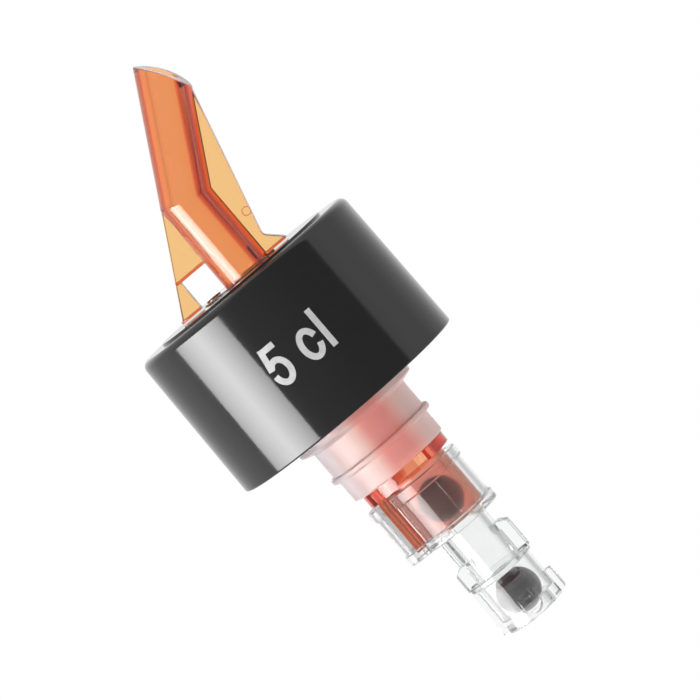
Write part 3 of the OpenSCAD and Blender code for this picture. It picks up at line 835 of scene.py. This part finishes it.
# cup with its rim band and floor edge, the neck tube under it, two guide ribs and the mould seam
def clearCup():
    c = cup
    top, low = cupHigh[2], c["floor"] - c["floorThick"]
    corners = [
        (-c["wall"], low), (c["lip"], low), (c["lip"], c["floor"]), (0, c["floor"] + c["lipSlope"]),
        (0, top - c["band"] - c["lipSlope"]), (c["lip"], top - c["band"]), (c["lip"], top),
        (-c["wall"], top), (-c["wall"], c["floor"])]
    edges = (0, 0.2, 0.2, 0.15, 0.15, 0.15, 0.2, 0.2, 0)
    profile = rounded(corners, edges, 5)
    plans = np.stack([cupPlan(grow) for grow in profile[:, 0]])
    heights = np.repeat(profile[:, 1][:, None], plans.shape[1], 1)
    count = plans.shape[1]
    last = (len(profile) - 1) * count
    faces = gridFaces(len(profile), count)[:last]
    body = solid("cup", np.concatenate([plans, heights[..., None]], -1), faces,
                 [range(count - 1, -1, -1), range(last, last + count)])
    neck = rod("neck", c["neck"], cupLow[2], low + c["neckBite"], tubeX, 128)
    adds = [neck]
    for side in (-1, 1):
        y = side * c["guideY"]
        adds.append(block("guide", (tubeX - c["neck"], y - c["guide"] / 2, low - c["guideHigh"]),
                          (tubeX - c["neck"] + c["guide"], y + c["guide"] / 2, low + c["guideBite"]), 0.15))
    seamIn, seamOut = c["outer"] - c["seamIn"], c["outer"] + c["seamHigh"]
    seamLow, seamTop = low + c["seamIn"], top - c["seamIn"]
    line = [(seamIn, seamLow), (seamOut, seamLow), (seamOut, seamTop), (seamIn, seamTop)]
    for turn in (c["seam"] - 90, c["seam"] + 90):
        adds.append(plate("seam", line, c["seamWide"], 0.03, 2, math.radians(turn), (tubeX, 0)))
    grooveLow = c["floor"] - c["groove"]
    grooveTop = c["floor"] + c["grooveOver"]
    groove = turned("groove", [
        (c["grooveIn"], grooveLow), (c["grooveOut"], grooveLow), (c["grooveOut"], grooveTop),
        (c["grooveIn"], grooveTop)], tubeX, 128)
    cuts = [
        groove,
        ventPost(c["postGap"], grooveTop),
        rod("ventHole", spout["ventBore"], low - past, c["floor"], spout["vent"]),
        rod("bleed", c["bleed"], low - c["bleedDown"], c["floor"] + past, tubeX),
        rod("neckBore", c["neckBore"], cupLow[2] - past, c["boreTop"], tubeX, 128)]
    halfArm = c["arm"] / 2 + c["armGap"]
    for side, z in c["pockets"]:
        far = tubeX + side * (c["neck"] + 2 * past)
        near = tubeX + side * (c["neck"] - c["pocket"])
        cuts.append(block("pocket", (min(near, far), -halfArm, z),
                          (max(near, far), halfArm, z + c["pocketHigh"])))
    return shaped(body, adds, cuts)


place(clearCup(), "clearCup", clear, "pourer", ["cup"])

# cage, in millimetres
cage = {
    "outer": 5.6, "bore": 4.55, "shoulder": 6.25, "shoulderHigh": 1.0, "shoulderLow": -29.4,
    "lipHole": 3.0, "lip": 2.2, "slotWide": 3.3, "slotHigh": 3.8, "slotLow": 0.5, "slotTurn": 13.0,
    "ribLift": 0.4, "ribReach": 6.7, "longRib": 1.0, "shortRib": 2.4, "shortHigh": 4.3,
    "arm": 3.6, "armReach": 6.6, "armHigh": {-1: 3.8, 1: 6.0},
    "hook": 1.4, "hookIn": 3.45, "hookSpare": 0.6, "lead": (1.3, 0.8),
    "armBite": 0.3, "ribBite": 0.2, "keepReach": 20.0,
}


# clip arm beside the neck: a curved strip between two radii with a hook at its tip
def clipArm(side):
    g = cage
    foot = g["shoulderLow"] + g["shoulderHigh"] - g["armBite"]
    tip = g["shoulderLow"] + g["shoulderHigh"] + g["armHigh"][side]
    leadIn, leadDown = g["lead"]
    deep = g["hookIn"] - g["hookSpare"]
    profile = [
        (g["bore"], foot), (g["armReach"], foot), (g["armReach"], tip - leadDown),
        (g["armReach"] - leadIn, tip), (deep, tip), (deep, tip - g["hook"]), (g["bore"], tip - g["hook"])]
    strip = turned("arm", rounded(profile, (0.05, 0.05, 0.25, 0.25, 0.05, 0.05, 0.05), 4), tubeX, 160)
    core = block("core", (tubeX - g["hookIn"], -g["arm"], foot - past),
                 (tubeX + g["hookIn"], g["arm"], tip + past))
    left, right = sorted((tubeX, tubeX + side * g["keepReach"]))
    keep = block("keep", (left, -g["arm"] / 2, foot - past), (right, g["arm"] / 2, tip + past), 0.02)
    return shaped(strip, cuts=[core], keeps=[keep])


# turned cage with its shoulder ring, two outer ribs, the clip arms and two slots with round lower ends
def ballCage():
    g = cage
    low = cageLow[2]
    shoulderTop = g["shoulderLow"] + g["shoulderHigh"]
    corners = [
        (g["lipHole"], low), (g["outer"], low), (g["outer"], g["shoulderLow"]),
        (g["shoulder"], g["shoulderLow"]), (g["shoulder"], shoulderTop), (g["bore"], shoulderTop),
        (g["bore"], low + g["lip"]), (g["lipHole"], low + g["lip"])]
    edges = (0.2, 0.25, 0.15, 0.2, 0.2, 0.15, 0.4, 0.25)
    body = turned("cage", rounded(corners, edges, 5), tubeX, 160)
    wallMiddle = (g["outer"] + g["bore"]) / 2
    ribLow = low + g["ribLift"]
    halfLong = g["longRib"] / 2
    halfShort = g["shortRib"] / 2
    longRib = block("longRib", (tubeX - g["ribReach"], -halfLong, ribLow),
                    (tubeX - wallMiddle, halfLong, g["shoulderLow"] + g["ribBite"]), 0.15)
    shortRib = block("shortRib", (tubeX + wallMiddle, -halfShort, ribLow),
                     (tubeX + g["ribReach"], halfShort, ribLow + g["shortHigh"]), 0.3)
    half = g["slotWide"] / 2
    slotLow = low + g["slotLow"]
    a = np.linspace(np.pi, 2 * np.pi, 24)
    bottom = np.stack([half * np.cos(a), slotLow + half + half * np.sin(a)], -1)
    top = [(half, slotLow + g["slotHigh"]), (-half, slotLow + g["slotHigh"])]
    outline = np.concatenate([bottom, top])
    slot = plate("slot", outline, 4 * g["outer"], 0.02, 2, math.radians(g["slotTurn"]), (tubeX, 0))
    return shaped(body, [longRib, shortRib, clipArm(-1), clipArm(1)], [slot])


place(ballCage(), "ballCage", cageClear, "pourer", ["cage"])


# ball: x = r sin u cos v, y = r sin u sin v, z = r cos u about its centre
def steelSphere(low, high):
    centre = (low + high) / 2
    radius = (high[0] - low[0]) / 2
    rows, columns = 49, 96
    u = np.linspace(0, np.pi, rows)[:, None]
    v = np.linspace(0, 2 * np.pi, columns, endpoint=False)[None, :]
    points = np.stack(np.broadcast_arrays(np.sin(u) * np.cos(v), np.sin(u) * np.sin(v), np.cos(u)), -1)
    faces = gridFaces(rows, columns)[:(rows - 1) * columns]
    return solid("ball", centre + radius * points, faces)


place(steelSphere(timingLow, timingHigh), "timingBall", steel, "timing_ball", ["timing_ball"])
place(steelSphere(checkLow, checkHigh), "checkBall", steel, "check_ball", ["check_ball"])

# volume mark on the collar: stroke paths in millimetres, left to right along the collar and up from its foot
mark = {"turn": 7.6, "height": 18.45, "stroke": 1.06, "proud": 0.04, "sunk": 0.1}


# an arc of an ellipse between two angles in degrees
def bow(x, z, rx, rz, start, end, steps=28):
    a = np.radians(np.linspace(start, end, steps))
    return np.stack([x + rx * np.cos(a), z + rz * np.sin(a)], -1)


# a stroke: the path's left and right edges, laid on the collar's cone at two depths
def stroke(path):
    path = np.asarray(path, float)
    way = np.gradient(path, axis=0)
    way /= np.linalg.norm(way, axis=1)[:, None]
    aside = np.stack([-way[:, 1], way[:, 0]], -1) * mark["stroke"] / 2
    edges = np.stack([path - aside, path + aside, path + aside, path - aside], 1)
    lift = np.array([mark["proud"], mark["proud"], -mark["sunk"], -mark["sunk"]])[None, :]
    z = mark["height"] + edges[..., 1]
    outer = collarHigh[0]
    height = collarHigh[2] - collar["bossHigh"] - collarLow[2]
    radius = outer - collar["draft"] * (z - collarLow[2]) / height
    angle = math.radians(mark["turn"]) + edges[..., 0] / outer
    points = np.stack([(radius + lift) * np.sin(angle), -(radius + lift) * np.cos(angle), z], -1)
    count = len(path)
    faces = gridFaces(count, 4)[:(count - 1) * 4]
    return solid("stroke", points, faces, [range(3, -1, -1), range((count - 1) * 4, count * 4)])


# the figure in three strokes, then the two letters
def volumeMark():
    five = [np.linspace((-2.22, 6.78), (-4.95, 6.78), 6), np.linspace((-4.65, 7.31), (-5.3, 3.3), 8),
            bow(-3.9, 2.48, 1.46, 2.05, 146, -176)]
    letters = five + [bow(2.5, 2.82, 1.48, 2.38, 19, 344), np.linspace((5.59, 0.0), (5.59, 7.49), 8)]
    strokes = [stroke(path) for path in letters]
    return shaped(strokes[0], strokes[1:])


place(volumeMark(), "volumeMark", ink, "collar")

# floor and studio, in metres and degrees
studio = {
    "floorRadius": 1.5, "floorDrop": 0.0001, "shadowInner": 0.008, "shadowOuter": 0.034, "ambient": 0.62,
    "floorColour": (0.93, 0.93, 0.93, 1), "floorRough": 0.7,
    "softbox": 4.6, "card": 16.5, "cardTurn": -53.0, "cardWide": 0.42, "cardHigh": 0.25, "cardAway": 0.42,
    "cardLift": -0.005, "lampAway": 1.02, "cardMiddle": 0.98, "cardFall": 0.52, "cardCurve": 1.2,
    "topLight": 4.0, "topWide": 0.6, "topAway": 0.8,
}
# brightness of the room by share of the turn, where 0.5 looks towards -Y and less is to the left: as mirrors
# show it, as glass shows it that only bends the light, and as glass shows it that throws the light back
walls = {
    "mirror": [
        (0.0, 1.0), (0.09, 0.95), (0.17, 0.86), (0.23, 1.0), (0.29, 1.0), (0.42, 0.65), (0.46, 0.38),
        (0.54, 0.3), (0.62, 0.22), (0.714, 0.22), (0.722, 0.95), (0.76, 0.95), (0.82, 0.72), (0.89, 0.75),
        (0.95, 1.0), (1.0, 1.0)],
    "bent": [
        (0.0, 1.0), (0.12, 1.0), (0.19, 0.8), (0.225, 0.75), (0.245, 1.0), (0.79, 1.0), (0.81, 0.68),
        (0.9, 0.68), (0.95, 0.75), (0.985, 1.0), (1.0, 1.0)],
    "thrown": [
        (0.0, 1.0), (0.12, 1.0), (0.2, 0.75), (0.27, 0.6), (0.34, 0.4), (0.42, 0.28), (0.58, 0.28),
        (0.66, 0.3), (0.74, 0.4), (0.8, 0.55), (0.9, 0.55), (0.96, 0.6), (0.995, 1.0), (1.0, 1.0)],
}


# a flat disc, x = r cos t, y = r sin t: pale where the shadow falls, and white to the camera further out
def floorDisc():
    t = np.linspace(0, 2 * np.pi, 96, endpoint=False)
    rim = np.stack([np.cos(t), np.sin(t), np.zeros_like(t)], -1) * studio["floorRadius"]
    rim = rim + (0, 0, cadLow[2] - studio["floorDrop"])
    mesh = bpy.data.meshes.new("floor")
    mesh.from_pydata(rim.tolist(), [], [list(range(len(t)))])
    disc = bpy.data.objects.new("floor", mesh)
    scene.collection.objects.link(disc)
    f = Finish(bpy.data.materials.new("paleFloor"))
    away = f.wire(f.node("ShaderNodeVectorMath", {"operation": "LENGTH"}, Vector=f.objectPlace()), "Value")
    seen = f.wire(f.node("ShaderNodeLightPath"), "Is Camera Ray")
    fade = f.spread(away, studio["shadowInner"], studio["shadowOuter"]) * seen
    pale = f.node("ShaderNodeBsdfPrincipled", None, Base_Color=studio["floorColour"],
                  Roughness=studio["floorRough"])
    white = f.node("ShaderNodeEmission", None, Color=(1, 1, 1, 1), Strength=1.0)
    mesh.materials.append(f.show(f.blend(fade, pale, white)))
    disc.visible_glossy = False
    disc.visible_transmission = False


floorDisc()


# world: white to the camera, plain ambient light, and the room's walls for mirrors and for what glass shows
def studioWorld():
    world = bpy.data.worlds.new("studio")
    scene.world = world
    f = Finish(world)
    ray = f.node("ShaderNodeLightPath")
    way = f.node("ShaderNodeSeparateXYZ", None, Vector=f.wire(f.node("ShaderNodeTexCoord"), "Generated"))
    x, y = f.wire(way, "X"), f.wire(way, "Y")
    share = x.reckon("ARCTAN2", x, 0 - y) / (2 * math.pi) + 0.5
    mirror, bent, thrown = (
        f.wire(f.node("ShaderNodeValToRGB", {"stops": walls[kind]}, Fac=share))
        for kind in ("mirror", "bent", "thrown"))
    # the glossy depth counts reflections only, so it is 0 for light that was only bent
    depth = f.wire(ray, "Glossy Depth")
    back = depth.reckon("MINIMUM", depth, 1)
    through = bent * (1 - back) + thrown * back
    camera = f.wire(ray, "Is Camera Ray")
    glossy = f.wire(ray, "Is Glossy Ray")
    passing = f.wire(ray, "Is Transmission Ray")
    level = studio["ambient"] * (1 - glossy) + glossy * mirror
    level = level * (1 - passing) + passing * through
    level = level * (1 - camera) + camera
    sky = f.node("ShaderNodeBackground", None, Color=(1, 1, 1, 1), Strength=level)
    f.show(sky, output="ShaderNodeOutputWorld")


studioWorld()


# an area lamp that lights surfaces and is itself never seen
def areaLamp(name, level, wide, high, spot, turn=(0, 0, 0)):
    lamp = bpy.data.lights.new(name, "AREA")
    lamp.shape = "RECTANGLE"
    lamp.size, lamp.size_y = wide, high
    lamp.energy = level * math.pi * wide * high
    holder = bpy.data.objects.new(name, lamp)
    holder.location = spot
    holder.rotation_euler = turn
    holder.visible_camera = False
    holder.visible_glossy = False
    holder.visible_transmission = False
    scene.collection.objects.link(holder)


# soft box on the left: an area lamp, and a card in front of it that only reflections see
def softBox():
    turn = math.radians(studio["cardTurn"])
    wide, high, away = studio["cardWide"], studio["cardHigh"], studio["cardAway"]
    spot = Vector((math.sin(turn) * away, -math.cos(turn) * away, studio["cardLift"]))
    behind = spot * studio["lampAway"]
    areaLamp("softbox", studio["softbox"], wide, high, behind, (math.pi / 2, 0, turn))
    across = Vector((math.cos(turn), math.sin(turn), 0)) * wide / 2
    up = Vector((0, 0, high / 2))
    corners = [spot - across - up, spot + across - up, spot + across + up, spot - across + up]
    mesh = bpy.data.meshes.new("card")
    mesh.from_pydata([tuple(c) for c in corners], [], [(0, 1, 2, 3)])
    card = bpy.data.objects.new("card", mesh)
    scene.collection.objects.link(card)
    f = Finish(bpy.data.materials.new("card"))
    where = f.node("ShaderNodeSeparateXYZ", None, Vector=f.objectPlace())
    # 0 in the card's middle, where it is brightest, and 1 at its two upright edges
    along = f.wire(where, "X") * math.cos(turn) + f.wire(where, "Y") * math.sin(turn)
    off = abs(along * (2 / wide))
    level = studio["cardMiddle"] - studio["cardFall"] * off ** studio["cardCurve"]
    grey = f.wire(f.node("ShaderNodeCombineColor", None, Red=level, Green=level, Blue=level))
    mesh.materials.append(f.show(f.node("ShaderNodeEmission", None, Color=grey, Strength=studio["card"])))
    card.visible_camera = False
    card.visible_diffuse = False
    card.visible_transmission = False
    card.visible_shadow = False
    card.visible_volume_scatter = False


softBox()
# wide soft lamp overhead, so that the floor is as bright as the backdrop
areaLamp("topLight", studio["topLight"], studio["topWide"], studio["topWide"], (0, 0, studio["topAway"]))
print("studio made")

# camera at the photograph's viewing angle: degrees, then millimetres, but the clip range in metres
shot = {
    "azimuth": 8.8, "elevation": 3.4, "roll": 40.36, "away": 750.0, "aimAside": 6.2, "aimHeight": 15.1,
    "lens": 232.0, "sensor": 36.0, "clip": (0.01, 20.0),
}


# the camera stands on its sight line and is rolled, so that the part leans to the left in the picture
def makeCamera():
    a, e, roll = (math.radians(shot[k]) for k in ("azimuth", "elevation", "roll"))
    back = Vector((math.sin(a) * math.cos(e), -math.cos(a) * math.cos(e), math.sin(e)))
    right = Vector((math.cos(a), math.sin(a), 0))
    up = back.cross(right)
    aim = (right * shot["aimAside"] + Vector((0, 0, shot["aimHeight"]))) * mm
    side = right * math.cos(roll) - up * math.sin(roll)
    top = right * math.sin(roll) + up * math.cos(roll)
    spot = aim + back * shot["away"] * mm
    data = bpy.data.cameras.new("camera")
    data.lens = shot["lens"]
    data.sensor_width = shot["sensor"]
    data.clip_start, data.clip_end = shot["clip"]
    camera = bpy.data.objects.new("camera", data)
    turn = Matrix((side, top, back)).transposed().to_4x4()
    camera.matrix_world = Matrix.Translation(spot) @ turn
    scene.collection.objects.link(camera)
    scene.camera = camera


makeCamera()
scene.view_settings.view_transform = "Standard"
scene.cycles.max_bounces = 24
scene.cycles.transmission_bounces = 24
scene.cycles.glossy_bounces = 10
